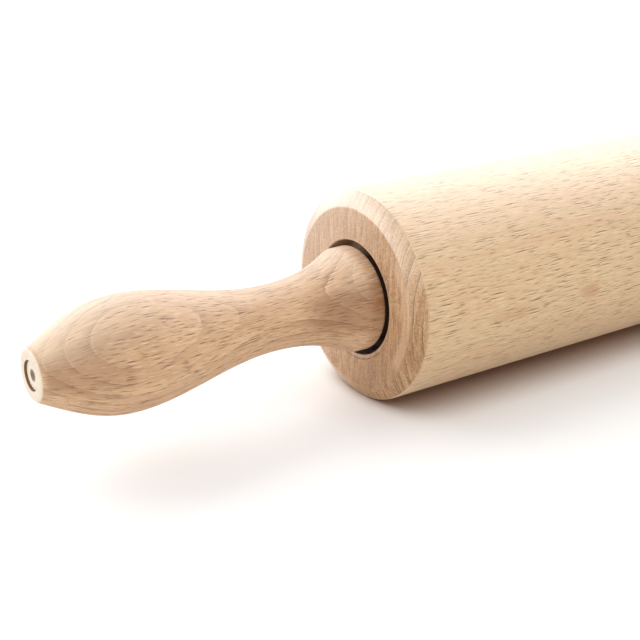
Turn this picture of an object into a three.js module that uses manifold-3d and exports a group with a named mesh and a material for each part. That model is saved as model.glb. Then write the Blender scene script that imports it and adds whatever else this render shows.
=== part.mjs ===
// Beech rolling pin. A turned barrel spins on two shielded ball bearings round a steel axle, and a
// turned handle is pressed on each end of the axle. Each handle has a tenon that reaches into a recess
// in the barrel's end and a collar that nearly closes it. A small plug closes the bore at the tip.
//
// Millimetres. X runs along the axle and +Z is up. The origin lies under the middle of the barrel,
// on the surface that the pin rests on.

import * as THREE from 'three';
import { mergeVertices } from 'three/addons/utils/BufferGeometryUtils.js';
import Module from 'manifold-3d';

// Barrel
const barrelDiameter = 60;
const barrelLength = 250;
const rimChamferRadial = 4.6;
const rimChamferAxial = 2.8;
const rimCrown = 0.2; // how far the chamfer swells past a straight cone
const recessDiameter = 32.6;
const recessDepth = 8;
const recessMouthBevel = 0.25;
const bearingLip = 1.6; // width of the step that the outer race rests against
const bearingRelief = 1; // depth of the hollow behind the bearing

// Handle. Distances run outwards from the barrel's end face, or back from the handle's tip.
const handleLength = 94.7;
const tipFaceDiameter = 12.4;
const tipRounding = 0.7;
const tipFlankSlope = 0.554;
const bulgeDiameter = 29.96;
const bulgeFromTip = 24.55;
const neckDiameter = 17.95;
const neckFromFace = 28.3;
const flareFromFace = 4;
const flareSlope = 0.459;
const flareDrop = 0.08; // how far the flare's end lies under the collar
const collarGap = 1.55; // between the collar's edge and the wall of the recess
const collarReach = 0.6; // from the barrel's end face into the recess
const collarChamfer = 0.6;
const tenonDiameter = 26; // part of the handle inside the recess
const tenonChamfer = 0.8;

// How far each smooth stretch of the handle keeps to its end directions, as a share of the stretch
const flareEase = 0.131;
const neckEaseToFlare = 0.599;
const neckEaseToBulge = 0.359;
const bulgeEaseToNeck = 0.325;
const bulgeEaseToTip = 0.366;
const tipEase = 0.388;

// End plug
const plugDiameter = 7.6;
const plugLength = 10;
const plugRecess = 0.6;
const plugEdge = 0.35;
const centreMarkDiameter = 2;
const centreMarkDepth = 1.5;
const plugBackGap = 0.3;

// Axle
const journalDiameter = 8;
const shoulderHeight = 1;
const axleEndChamfer = 0.6;
const handleBoreDepthSpare = 0.15; // past the axle's end

// Ball bearing
const ballDiameter = 3.97;
const ballCount = 7;
const raceWall = 1.345; // thickness of a race under its groove
const landOffset = 1.45; // from the balls' pitch circle to the edge of a groove
const raceChamfer = 0.3;
const cageThickness = 1.4;
const cageSpine = 0.445; // band of the cage beside its pockets
const cageProngs = 1.1; // how far the cage reaches past the balls' middle on its open side
const shieldThickness = 0.4;
const shieldInset = 0.25;
const shieldSeat = 0.65; // depth of the shield's groove in the outer race

// Spacer between tenon and inner race
const spacerRim = 0.3; // how far the spacer stays inside the inner race's edge

// Clearances
const ballClearance = 0.12;
const cageToShield = 0.3;
const shieldToInnerRace = 0.25;
const pressClearance = 0.05; // pressed pieces: axle in handle, race in barrel, plug in handle
const faceClearance = 0.02; // flat faces that bear on each other
const boreClearance = 0.6; // axle's shoulder in the barrel
const tenonToFloor = 0.8; // tenon's end to the floor of the recess

// Fineness of the turned pieces
const barrelSides = 64;
const handleSides = 36;
const smallSides = 24;
const stretchSteps = 6;
const roundingSteps = 3;
const grooveSteps = 4;
const pocketSides = 16;
const ballSlices = 10;
const ballStacks = 6;

// Derived sizes
const barrelRadius = barrelDiameter / 2;
const halfBarrel = barrelLength / 2;
const axisHeight = barrelRadius * Math.cos(Math.PI / barrelSides); // a flat lies underneath
const recessRadius = recessDiameter / 2;
const collarRadius = recessRadius - collarGap;
const tenonRadius = tenonDiameter / 2;
const tenonDepth = recessDepth - tenonToFloor;

const journalRadius = journalDiameter / 2;
const shoulderRadius = journalRadius + shoulderHeight;
const fittedBoreRadius = journalRadius + pressClearance;
const ballRadius = ballDiameter / 2;
const grooveRadius = ballRadius + ballClearance;
const pitchRadius = fittedBoreRadius + raceWall + grooveRadius;
const bearingRadius = pitchRadius + grooveRadius + raceWall;
const innerLandRadius = pitchRadius - landOffset;
const outerLandRadius = pitchRadius + landOffset;
const shieldSeatRadius = outerLandRadius + shieldSeat;
const shieldOuterFace = shieldInset + shieldThickness;
const cageReach = grooveRadius + cageSpine;
const halfBearing = cageReach + cageToShield + shieldOuterFace;
const bearingWidth = 2 * halfBearing;
const bearingMiddle = -(recessDepth + halfBearing); // along an end's own axis, outwards positive
const seatFloorDepth = recessDepth + bearingWidth + faceClearance;

const plugRadius = plugDiameter / 2;
const plugFace = handleLength - plugRecess;
const axleOutreach = plugFace - plugLength - plugBackGap;
const handleBoreEnd = axleOutreach + handleBoreDepthSpare;

// Materials
const beechPale = new THREE.MeshStandardMaterial({ color: 0xd9b48c, roughness: 0.62, metalness: 0 });
const beechTan = new THREE.MeshStandardMaterial({ color: 0xcfa57a, roughness: 0.6, metalness: 0 });
const beechPlug = new THREE.MeshStandardMaterial({ color: 0xe6d3b8, roughness: 0.6, metalness: 0 });
const axleSteel = new THREE.MeshStandardMaterial({ color: 0xb4b6b8, roughness: 0.35, metalness: 1 });
const raceSteel = new THREE.MeshStandardMaterial({ color: 0xc2c4c6, roughness: 0.22, metalness: 1 });
const ballSteel = new THREE.MeshStandardMaterial({ color: 0xd0d2d4, roughness: 0.12, metalness: 1 });
const shieldSteel = new THREE.MeshStandardMaterial({ color: 0xaeb0b2, roughness: 0.4, metalness: 1 });
const cageBrass = new THREE.MeshStandardMaterial({ color: 0xb08d4c, roughness: 0.38, metalness: 1 });

/** A closed piece turned round the X axis. The outline lists [along, radius] points: along the outside
 *  towards +X, then back along the bore. A flat of the turned piece faces straight down. */
function turned(outline, sides) {
  const profile = outline.map(([along, radius]) => new THREE.Vector2(radius, along));
  const geometry = new THREE.LatheGeometry(profile, sides, Math.PI / sides);
  return geometry.rotateZ(-Math.PI / 2);
}

/** The same outline with its first point again at its end, for a ring. */
function closed(outline) {
  return [...outline, outline[0]];
}

/** Points of a smooth stretch between two outline points, each left along its own direction. */
function stretch(from, leave, arrive, to) {
  const curve = new THREE.CubicBezierCurve(
    new THREE.Vector2(...from),
    new THREE.Vector2(from[0] + leave[0], from[1] + leave[1]),
    new THREE.Vector2(to[0] - arrive[0], to[1] - arrive[1]),
    new THREE.Vector2(...to),
  );
  return curve.getPoints(stretchSteps).map((point) => [point.x, point.y]);
}

/** Points of a circular arc, from one angle to another, with angle 0 along +X. */
function arc(along, radius, arcRadius, fromAngle, toAngle, steps) {
  return Array.from({ length: steps + 1 }, (_, step) => {
    const angle = fromAngle + ((toAngle - fromAngle) * step) / steps;
    return [along + arcRadius * Math.cos(angle), radius + arcRadius * Math.sin(angle)];
  });
}

/** A named piece of the pin. */
function piece(name, geometry, material) {
  const mesh = new THREE.Mesh(geometry, material);
  mesh.name = name;
  return mesh;
}

/** Outline points turned end for end: the far end's half of a symmetric piece. */
function mirrored(outline) {
  return outline.map(([along, radius]) => [-along, radius]).reverse();
}

function makeBarrel() {
  const chamferWidth = Math.hypot(rimChamferRadial, rimChamferAxial);
  const chamferMiddle = [
    halfBarrel - rimChamferAxial / 2 + (rimCrown * rimChamferRadial) / chamferWidth,
    barrelRadius - rimChamferRadial / 2 + (rimCrown * rimChamferAxial) / chamferWidth,
  ];
  const rim = [
    [halfBarrel - rimChamferAxial, barrelRadius],
    chamferMiddle,
    [halfBarrel, barrelRadius - rimChamferRadial],
  ];
  const seatRadius = bearingRadius + pressClearance;
  const reliefRadius = bearingRadius - bearingLip;
  const boreRadius = shoulderRadius + boreClearance;
  const seatFloor = halfBarrel - seatFloorDepth;
  const inside = [
    [halfBarrel, recessRadius + recessMouthBevel],
    [halfBarrel - recessMouthBevel, recessRadius],
    [halfBarrel - recessDepth, recessRadius],
    [halfBarrel - recessDepth, seatRadius],
    [seatFloor, seatRadius],
    [seatFloor, reliefRadius],
    [seatFloor - bearingRelief, reliefRadius],
    [seatFloor - bearingRelief, boreRadius],
  ];
  const outline = [...mirrored(rim), ...rim, ...inside, ...mirrored(inside)];
  return piece('barrel', turned(closed(outline), barrelSides), beechPale);
}

function makeAxle() {
  const end = halfBarrel + axleOutreach;
  const shoulder = halfBarrel - recessDepth - bearingWidth - faceClearance;
  const half = [
    [shoulder, shoulderRadius],
    [shoulder, journalRadius],
    [end - axleEndChamfer, journalRadius],
    [end, journalRadius - axleEndChamfer],
    [end, 0],
  ];
  return piece('axle', turned([...mirrored(half), ...half], smallSides), axleSteel);
}

function makeHandle(side) {
  const neck = [neckFromFace, neckDiameter / 2];
  const bulge = [handleLength - bulgeFromTip, bulgeDiameter / 2];
  const flare = [flareFromFace, collarRadius - flareDrop];
  const tipEdge = arc(
    handleLength - tipRounding, tipFaceDiameter / 2, tipRounding, Math.PI / 2 - Math.atan(tipFlankSlope), 0,
    roundingSteps);
  const tip = tipEdge[0];
  const flareRun = neck[0] - flare[0];
  const neckRun = bulge[0] - neck[0];
  const tipRun = tip[0] - bulge[0];

  const foot = [
    [-tenonDepth, fittedBoreRadius],
    [-tenonDepth, tenonRadius - tenonChamfer],
    [tenonChamfer - tenonDepth, tenonRadius],
    [-collarReach, tenonRadius],
    [-collarReach, collarRadius - collarChamfer],
    [collarChamfer - collarReach, collarRadius],
  ];
  const flareToNeck = stretch(
    flare, [flareRun * flareEase, -flareRun * flareEase * flareSlope], [flareRun * neckEaseToFlare, 0], neck);
  const neckToBulge = stretch(neck, [neckRun * neckEaseToBulge, 0], [neckRun * bulgeEaseToNeck, 0], bulge);
  const bulgeToTip = stretch(
    bulge, [tipRun * bulgeEaseToTip, 0], [tipRun * tipEase, -tipRun * tipEase * tipFlankSlope], tip);
  const holeRadius = plugRadius + pressClearance;
  const end = [
    ...tipEdge.slice(1),
    [handleLength, holeRadius],
    [handleBoreEnd, holeRadius],
    [handleBoreEnd, fittedBoreRadius],
  ];
  const outline = [...foot, ...flareToNeck, ...neckToBulge.slice(1), ...bulgeToTip.slice(1), ...end];
  return piece(`${side}_handle`, turned(closed(outline), handleSides), beechTan);
}

function makePlug(side) {
  const markRadius = centreMarkDiameter / 2;
  const outline = [
    [plugFace - plugLength, 0],
    [plugFace - plugLength, plugRadius - plugEdge],
    [plugFace - plugLength + plugEdge, plugRadius],
    [plugFace - plugEdge, plugRadius],
    [plugFace, plugRadius - plugEdge],
    [plugFace, markRadius],
    [plugFace - centreMarkDepth, 0],
  ];
  return piece(`${side}_end_plug`, turned(outline, smallSides), beechPlug);
}

function makeSpacer(side) {
  const outerRadius = innerLandRadius - spacerRim;
  const inner = -recessDepth + faceClearance;
  const outer = -tenonDepth - faceClearance;
  const outline = [
    [inner, fittedBoreRadius],
    [inner, outerRadius],
    [outer, outerRadius],
    [outer, fittedBoreRadius],
  ];
  return piece(`${side}_spacer`, turned(closed(outline), smallSides), axleSteel);
}

function makeOuterRace(side) {
  const grooveEdge = Math.acos(landOffset / grooveRadius);
  const groove = arc(0, pitchRadius, grooveRadius, Math.PI / 2 - grooveEdge, Math.PI / 2 + grooveEdge, grooveSteps);
  const shieldStop = halfBearing - shieldOuterFace - faceClearance;
  const outline = [
    [-halfBearing, bearingRadius - raceChamfer],
    [raceChamfer - halfBearing, bearingRadius],
    [halfBearing - raceChamfer, bearingRadius],
    [halfBearing, bearingRadius - raceChamfer],
    [halfBearing, shieldSeatRadius],
    [shieldStop, shieldSeatRadius],
    [shieldStop, outerLandRadius],
    ...groove,
    [-shieldStop, outerLandRadius],
    [-shieldStop, shieldSeatRadius],
    [-halfBearing, shieldSeatRadius],
  ];
  return piece(`${side}_bearing_outer_race`, turned(closed(outline), smallSides), raceSteel);
}

function makeInnerRace(side) {
  const grooveEdge = Math.acos(landOffset / grooveRadius);
  const groove = arc(
    0, pitchRadius, grooveRadius, -Math.PI / 2 - grooveEdge, -Math.PI / 2 + grooveEdge, grooveSteps);
  const outline = [
    [-halfBearing, fittedBoreRadius],
    [-halfBearing, innerLandRadius],
    ...groove,
    [halfBearing, innerLandRadius],
    [halfBearing, fittedBoreRadius],
  ];
  return piece(`${side}_bearing_inner_race`, turned(closed(outline), smallSides), raceSteel);
}

function makeShield(side, face, direction) {
  const outerRadius = shieldSeatRadius - pressClearance;
  const innerRadius = innerLandRadius + shieldToInnerRace;
  const near = halfBearing - shieldOuterFace;
  const far = halfBearing - shieldInset;
  const [start, end] = direction > 0 ? [near, far] : [-far, -near];
  const outline = [
    [start, innerRadius],
    [start, outerRadius],
    [end, outerRadius],
    [end, innerRadius],
  ];
  return piece(`${side}_bearing_${face}_shield`, turned(closed(outline), smallSides), shieldSteel);
}

const wasm = await Module();
wasm.setup();

/** A closed solid that can be joined and cut, from a geometry. */
function solidOf(geometry) {
  const bare = geometry.clone();
  bare.deleteAttribute('normal');
  bare.deleteAttribute('uv');
  const merged = mergeVertices(bare);
  const mesh = new wasm.Mesh({
    numProp: 3,
    vertProperties: new Float32Array(merged.attributes.position.array),
    triVerts: new Uint32Array(merged.index.array),
  });
  return new wasm.Manifold(mesh);
}

/** A geometry from a solid. */
function geometryOf(solid) {
  const mesh = solid.getMesh();
  const geometry = new THREE.BufferGeometry();
  geometry.setAttribute('position', new THREE.BufferAttribute(mesh.vertProperties, 3));
  geometry.setIndex(new THREE.BufferAttribute(mesh.triVerts, 1));
  return geometry;
}

/** Angle of one ball round the bearing, counted from the top. */
function ballAngle(index) {
  return (2 * Math.PI * index) / ballCount;
}

/** A ring with a pocket drilled inwards for each ball, open on one side. */
function makeCage(side) {
  const outerRadius = pitchRadius + cageThickness / 2;
  const innerRadius = pitchRadius - cageThickness / 2;
  const ring = [
    [-cageReach, innerRadius],
    [-cageReach, outerRadius],
    [cageProngs, outerRadius],
    [cageProngs, innerRadius],
  ];
  let cage = solidOf(turned(closed(ring), smallSides));
  for (let index = 0; index < ballCount; index += 1) {
    const pocket = new THREE.CylinderGeometry(grooveRadius, grooveRadius, 2 * cageThickness, pocketSides);
    pocket.rotateX(Math.PI / 2).translate(0, 0, pitchRadius).rotateX(ballAngle(index));
    cage = cage.subtract(solidOf(pocket));
  }
  return piece(`${side}_bearing_cage`, geometryOf(cage), cageBrass);
}

function makeBall(side, index) {
  const ball = piece(
    `${side}_bearing_ball_${index + 1}`, new THREE.SphereGeometry(ballRadius, ballSlices, ballStacks), ballSteel);
  const angle = ballAngle(index);
  ball.position.set(0, -pitchRadius * Math.sin(angle), pitchRadius * Math.cos(angle));
  return ball;
}

function makeBearing(side) {
  const bearing = new THREE.Group();
  bearing.position.x = bearingMiddle;
  bearing.add(makeOuterRace(side), makeInnerRace(side), makeCage(side));
  bearing.add(makeShield(side, 'outer', 1), makeShield(side, 'inner', -1));
  for (let index = 0; index < ballCount; index += 1) {
    bearing.add(makeBall(side, index));
  }
  return bearing;
}

/** Everything on one end of the pin, along an axis that runs outwards from the barrel's end face. */
function makeEnd(side) {
  const end = new THREE.Group();
  end.add(makeHandle(side), makePlug(side), makeSpacer(side), makeBearing(side));
  return end;
}

const rightEnd = makeEnd('right');
rightEnd.position.x = halfBarrel;

const leftEnd = makeEnd('left');
leftEnd.position.x = -halfBarrel;
leftEnd.rotation.z = Math.PI;

const rollingPin = new THREE.Group();
rollingPin.position.z = axisHeight;
rollingPin.add(makeBarrel(), makeAxle(), leftEnd, rightEnd);

export default rollingPin;
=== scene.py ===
"""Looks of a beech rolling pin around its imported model: fine turned surfaces for the barrel, the handles,
their plugs, the axle and the bearings, procedural beech and steel, and a pale studio floor."""

import math

import bpy
import numpy as np
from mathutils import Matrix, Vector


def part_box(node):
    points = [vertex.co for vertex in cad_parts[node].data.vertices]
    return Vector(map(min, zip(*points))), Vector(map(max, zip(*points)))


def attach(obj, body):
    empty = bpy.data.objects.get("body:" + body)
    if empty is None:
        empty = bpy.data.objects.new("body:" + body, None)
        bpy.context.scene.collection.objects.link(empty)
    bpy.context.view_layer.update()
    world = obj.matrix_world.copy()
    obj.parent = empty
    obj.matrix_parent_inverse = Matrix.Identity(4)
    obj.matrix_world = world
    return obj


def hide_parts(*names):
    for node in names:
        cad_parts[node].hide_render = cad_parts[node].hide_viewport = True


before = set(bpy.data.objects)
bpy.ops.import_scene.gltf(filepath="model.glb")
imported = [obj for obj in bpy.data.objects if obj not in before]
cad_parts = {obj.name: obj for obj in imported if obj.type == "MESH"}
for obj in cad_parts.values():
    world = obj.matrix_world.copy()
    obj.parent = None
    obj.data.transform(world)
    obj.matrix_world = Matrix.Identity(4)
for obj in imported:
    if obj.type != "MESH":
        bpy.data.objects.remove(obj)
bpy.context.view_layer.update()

MM = 0.001


def span(node):
    """Lowest and highest corner of a solid, in millimetres."""
    low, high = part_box(node)
    return np.array(low) / MM, np.array(high) / MM


# Places from the frame, in millimetres
barrel_low, barrel_high = span("barrel")
handle_low, handle_high = span("right_handle")
race_low, race_high = span("right_bearing_outer_race")
plug_low, plug_high = span("right_end_plug")
spacer_low, spacer_high = span("right_spacer")
AXIS_HEIGHT = (barrel_low[2] + barrel_high[2]) / 2
BARREL_RADIUS = AXIS_HEIGHT - barrel_low[2]
BARREL_END = barrel_high[0]
HANDLE_TIP = handle_high[0]
HANDLE_FOOT = handle_low[0]
AXLE_END = span("axle")[1][0]
BEARING_MIDDLE = (race_low[0] + race_high[0]) / 2
BEARING_HALF = (race_high[0] - race_low[0]) / 2

# Barrel, in millimetres
RIM_CHAMFER_RADIAL = 4.6
RIM_CHAMFER_AXIAL = 2.8
RIM_CROWN = 0.2
RIM_EDGE = 0.45
RIM_FOOT = BARREL_RADIUS - RIM_CHAMFER_RADIAL
RECESS_RADIUS = 16.3
RECESS_DEPTH = 8.0
RECESS_BEVEL = 0.25
RECESS_EDGE = 0.12
RECESS_CORNER = 0.3
SEAT_RADIUS = 11.05
SEAT_CLEARANCE = 0.02
SEAT_DEPTH = RECESS_DEPTH + 2 * BEARING_HALF + SEAT_CLEARANCE
SEAT_EDGE = 0.15
RELIEF_RADIUS = 9.4
RELIEF_DEPTH = 1.0
BORE_RADIUS = 5.6

# Handle, in millimetres: distances run outwards from the barrel's end face, or back from the tip
TIP_FACE_RADIUS = 5.85
TIP_ROUNDING = 1.1
TIP_FLANK_SLOPE = 0.554
BULGE_RADIUS = 14.98
BULGE_FROM_TIP = 24.55
NECK_RADIUS = 8.975
NECK_FROM_FACE = 28.3
FLARE_RADIUS = 14.67
FLARE_FROM_FACE = 4.0
FLARE_SLOPE = 0.459
COLLAR_RADIUS = 14.75
COLLAR_REACH = 0.6
COLLAR_CHAMFER = 0.6
COLLAR_EDGE = 0.5
COLLAR_CORNER = 0.3
TENON_RADIUS = 13.0
TENON_CHAMFER = 0.8
TENON_EDGE = 0.2
HANDLE_BORE = 4.05
BORE_PAST_AXLE = 0.15
PLUG_HOLE = 3.85
PLUG_HOLE_EDGE = 0.12

# How far each smooth stretch of the handle keeps to its end directions, as a share of the stretch
FLARE_EASE = 0.131
NECK_EASE_TO_FLARE = 0.599
NECK_EASE_TO_BULGE = 0.359
BULGE_EASE_TO_NECK = 0.325
BULGE_EASE_TO_TIP = 0.366
TIP_EASE = 0.388

# Plug, axle and spacer, in millimetres
PLUG_RADIUS = 3.8
PLUG_EDGE = 0.35
CENTRE_MARK_RADIUS = 1.0
CENTRE_MARK_DEPTH = 0.6
CENTRE_MARK_EDGE = 0.2
JOURNAL_RADIUS = 4.0
JOURNAL_CORNER = 0.1
SHOULDER_RADIUS = 5.0
SHOULDER_CLEARANCE = 0.02
SHOULDER_EDGE = 0.2
AXLE_CHAMFER = 0.6
AXLE_EDGE = 0.15
SPACER_RADIUS = 5.75
SPACER_EDGE = 0.12

# Bearing, in millimetres
BALL_RADIUS = 1.985
BALL_COUNT = 7
PITCH_RADIUS = 7.5
GROOVE_RADIUS = 2.105
INNER_LAND = 6.05
OUTER_LAND = 8.95
RACE_RADIUS = 11.0
RACE_CHAMFER = 0.3
BEARING_EDGE = 0.08
SHIELD_SEAT = 9.6
SHIELD_INSET = 0.25
SHIELD_THICKNESS = 0.4
SHIELD_CLEARANCE = 0.02
SHIELD_INNER = 6.3
SHIELD_OUTER = 9.55

# Fineness: points round a piece or along a stretch, and lengths in millimetres
BARREL_AROUND = 256
HANDLE_AROUND = 192
SMALL_AROUND = 96
ROW_LENGTH = 2.0
STRETCH_POINTS = 48
CHAMFER_POINTS = 9
TIP_POINTS = 9
GROOVE_POINTS = 17
CORNER_POINTS = 5
BALL_ROWS = 24
SAME_POINT = 1e-6


def bend(start, start_pull, end_pull, end, points=STRETCH_POINTS):
    """Cubic curve from start to end: it leaves along start_pull and arrives along end_pull."""
    t = np.linspace(0, 1, points)[:, None]
    start, end = np.array(start, float), np.array(end, float)
    first, second = start + start_pull, end - np.array(end_pull)
    return (1 - t) ** 3 * start + 3 * (1 - t) ** 2 * t * first + 3 * (1 - t) * t**2 * second + t**3 * end


def arc(centre, radius, first_angle, last_angle, points):
    """Circular arc round a centre, with angle 0 along the axle."""
    angle = np.linspace(first_angle, last_angle, points)
    return np.array(centre) + radius * np.column_stack([np.cos(angle), np.sin(angle)])


def softened(corners):
    """Outline through (along, radius, softness) corners: each corner gives way to a curve that starts and
    ends that far from it, and that the corner pulls on. A softness of 0 keeps the corner."""
    corners = np.array(corners, float)
    points, softness = corners[:, :2], corners[:, 2]
    t = np.linspace(0, 1, CORNER_POINTS)[:, None]
    outline = []
    for before, point, after, reach in zip(np.roll(points, 1, 0), points, np.roll(points, -1, 0), softness):
        if reach == 0:
            outline.append(point[None])
            continue
        start = point + (before - point) * min(0.5, reach / np.linalg.norm(before - point))
        end = point + (after - point) * min(0.5, reach / np.linalg.norm(after - point))
        outline.append((1 - t) ** 2 * start + 2 * (1 - t) * t * point + t**2 * end)
    return np.concatenate(outline)


def divided(outline, longest=ROW_LENGTH):
    """The same outline with straight stretches cut so that none is longer than a given length."""
    steps = np.maximum(1, np.ceil(np.linalg.norm(np.diff(outline, axis=0), axis=1) / longest)).astype(int)
    rows = [
        start + (end - start) * np.arange(count)[:, None] / count
        for start, end, count in zip(outline[:-1], outline[1:], steps)
    ]
    return np.concatenate(rows + [outline[-1:]])


def mirrored(outline):
    """The outline of the same piece at the pin's other end."""
    return outline[::-1] * (-1, 1)


def ring_faces(rings, around, has_poles):
    """Faces on rows of points that go round in rings: a four-sided face between each two neighbours on a ring
    and those on the next. The last ring joins the first, or a fan at each end closes on one more point."""
    column = np.arange(around)
    following = np.roll(column, -1)
    count = rings * around
    row = np.arange(rings - 1 if has_poles else rings)[:, None] * around
    onward = (row + around) % count
    quads = np.stack([row + column, onward + column, onward + following, row + following], axis=-1)
    faces = quads.reshape(-1, 4).tolist()
    if has_poles:
        last = count - around
        faces += np.column_stack([np.full(around, count), column, following]).tolist()
        faces += np.column_stack([np.full(around, count + 1), last + following, last + column]).tolist()
    return faces


def mesh_from(name, points, faces, grain=None):
    """A smooth-shaded mesh from points in millimetres."""
    mesh = bpy.data.meshes.new(name)
    mesh.from_pydata((points * MM).tolist(), [], faces)
    if grain is not None:
        mesh.attributes.new("end_grain", "FLOAT", "POINT").data.foreach_set("value", grain.astype(np.float32))
    mesh.shade_smooth()
    mesh.update()
    return mesh


def turned_mesh(name, outline, around):
    """Surface of revolution round the axle: an outline point (along, radius) becomes a ring of points at
    (along, radius * sin a, axis height + radius * cos a). The outline runs towards +X on the outside and
    back along the bore. It closes on itself, or with a point at each end if it starts and ends on the axis.
    The end_grain attribute is 0 where the surface runs along the axle and 1 where it is square to it."""
    outline = np.asarray(outline, float)
    on_axis = outline[0, 1] == 0
    if not on_axis:
        outline = np.concatenate([outline, outline[:1]])
    moved = np.linalg.norm(np.diff(outline, axis=0), axis=1) > SAME_POINT
    outline = divided(outline[np.append(True, moved)])
    slope = np.gradient(outline, axis=0)
    end_grain = np.abs(slope[:, 1]) / np.maximum(np.hypot(slope[:, 0], slope[:, 1]), SAME_POINT)
    in_rings = slice(1, -1) if on_axis else slice(0, -1)
    ring = outline[in_rings]
    angle = np.linspace(0, 2 * math.pi, around, endpoint=False)
    along = np.repeat(ring[:, :1], around, axis=1)
    grid = np.stack([along, ring[:, 1:] * np.sin(angle), AXIS_HEIGHT + ring[:, 1:] * np.cos(angle)], axis=-1)
    points = grid.reshape(-1, 3)
    grain = np.repeat(end_grain[in_rings], around)
    if on_axis:
        poles = [[outline[0, 0], 0, AXIS_HEIGHT], [outline[-1, 0], 0, AXIS_HEIGHT]]
        points = np.concatenate([points, poles])
        grain = np.concatenate([grain, end_grain[[0, -1]]])
    return mesh_from(name, points, ring_faces(len(ring), around, on_axis), grain)


def ball_mesh(name, node):
    """Sphere about the middle of a ball: a point at angles (tilt, turn) from one pole to the other lies at
    radius * (cos tilt, sin tilt * cos turn, sin tilt * sin turn)."""
    low, high = span(node)
    middle = (low + high) / 2
    tilt = np.linspace(0, math.pi, BALL_ROWS + 1)[1:-1, None]
    turn = np.linspace(0, 2 * math.pi, 2 * BALL_ROWS, endpoint=False)
    along = np.repeat(np.cos(tilt), len(turn), axis=1)
    grid = np.stack([along, np.sin(tilt) * np.cos(turn), np.sin(tilt) * np.sin(turn)], axis=-1)
    points = np.concatenate([grid.reshape(-1, 3), [(1, 0, 0), (-1, 0, 0)]]) * BALL_RADIUS + middle
    return mesh_from(name, points, ring_faces(len(tilt), len(turn), True))


def set_piece(name, mesh, material, body, node):
    """Puts a finished piece on its body, in place of the solid that it stands for."""
    piece = bpy.data.objects.new(name, mesh)
    bpy.context.scene.collection.objects.link(piece)
    mesh.materials.append(material)
    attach(piece, body)
    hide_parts(node)


class Flow:
    """A node's output socket. Arithmetic on it adds Math nodes."""

    def __init__(self, finish, socket):
        self.finish = finish
        self.socket = socket

    def __add__(self, other):
        return self.finish.math("ADD", self, other)

    def __radd__(self, other):
        return self.finish.math("ADD", other, self)

    def __sub__(self, other):
        return self.finish.math("SUBTRACT", self, other)

    def __rsub__(self, other):
        return self.finish.math("SUBTRACT", other, self)

    def __mul__(self, other):
        return self.finish.math("MULTIPLY", self, other)

    def __rmul__(self, other):
        return self.finish.math("MULTIPLY", other, self)

    def __truediv__(self, other):
        return self.finish.math("DIVIDE", self, other)

    def __rtruediv__(self, other):
        return self.finish.math("DIVIDE", other, self)

    def __pow__(self, other):
        return self.finish.math("POWER", self, other)

    def __rpow__(self, other):
        return self.finish.math("POWER", other, self)

    def __abs__(self):
        return self.finish.math("ABSOLUTE", self)

    def output(self, name):
        """Another output of the same node."""
        return Flow(self.finish, socket_of(self.socket.node.outputs, name))


def socket_of(sockets, key):
    """A socket by its number, its identifier or its name."""
    if isinstance(key, int):
        return sockets[key]
    return next((socket for socket in sockets if socket.identifier == key), None) or sockets[key]


class Finish:
    """A material, or the world, under construction."""

    def __init__(self, name, owner=None):
        self.material = owner or bpy.data.materials.new(name)
        self.material.use_nodes = True
        self.tree = self.material.node_tree
        self.tree.nodes.clear()

    def node(self, kind, settings=None, sockets=None, out=0):
        """Adds a node: its settings first, then the values or links of its sockets. Gives one output."""
        made = self.tree.nodes.new(kind)
        for key, value in (settings or {}).items():
            setattr(made, key, value)
        for key, value in (sockets or {}).items():
            socket = socket_of(made.inputs, key)
            if isinstance(value, Flow):
                self.tree.links.new(value.socket, socket)
            else:
                socket.default_value = value
        return Flow(self, socket_of(made.outputs, out)) if made.outputs else None

    def math(self, operation, *values):
        """The result of an operation on numbers or flows of numbers."""
        return self.node("ShaderNodeMath", {"operation": operation}, dict(enumerate(values)))

    def vector(self, operation, first, second):
        """The result of an operation on two vectors, or on a vector and its scale."""
        sockets = {0: first, "Scale": second} if operation == "SCALE" else {0: first, 1: second}
        return self.node("ShaderNodeVectorMath", {"operation": operation}, sockets)

    def joined(self, x, y, z):
        """A vector from its three parts."""
        return self.node("ShaderNodeCombineXYZ", None, {0: x, 1: y, 2: z})

    def mix(self, share, first, second):
        """Colour that goes from the first to the second as share goes from 0 to 1."""
        sockets = {"Factor_Float": share, "A_Color": first, "B_Color": second}
        return self.node("ShaderNodeMix", {"data_type": "RGBA"}, sockets, "Result_Color")

    def layered(self, colour, tones, layers):
        """A colour under layers of named tones, each laid with its share over the ones before it."""
        for share, tone in layers:
            colour = self.mix(share, colour, tones[tone])
        return colour

    def smooth(self, value, low, high):
        """0 below low, 1 above high, and a smooth rise between. With low above high it falls instead."""
        sockets = {"Value": value, "From Min": low, "From Max": high}
        return self.node("ShaderNodeMapRange", {"interpolation_type": "SMOOTHSTEP"}, sockets)

    def noise(self, vector, detail=2.0, roughness=0.5):
        """Smooth noise, mostly between 0.2 and 0.8, with spots about one unit across."""
        sockets = {"Vector": vector, "Scale": 1.0, "Detail": detail, "Roughness": roughness}
        return self.node("ShaderNodeTexNoise", None, sockets)

    def surface(self, **sockets):
        """The shader, with its sockets named as written but with _ for a space."""
        named = {key.replace("_", " "): value for key, value in sockets.items()}
        shader = self.node("ShaderNodeBsdfPrincipled", None, named)
        self.node("ShaderNodeOutputMaterial", None, {"Surface": shader})
        return self.material


def tint(red, green, blue):
    """A colour from its 0 to 255 screen values."""
    screen = np.array([red, green, blue]) / 255
    linear = np.where(screen <= 0.04045, screen / 12.92, ((screen + 0.055) / 1.055) ** 2.4)
    return (*linear.tolist(), 1.0)


def blend(first, second, share):
    """A value that goes from the first to the second as share goes from 0 to 1."""
    return first + (second - first) * share


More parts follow.
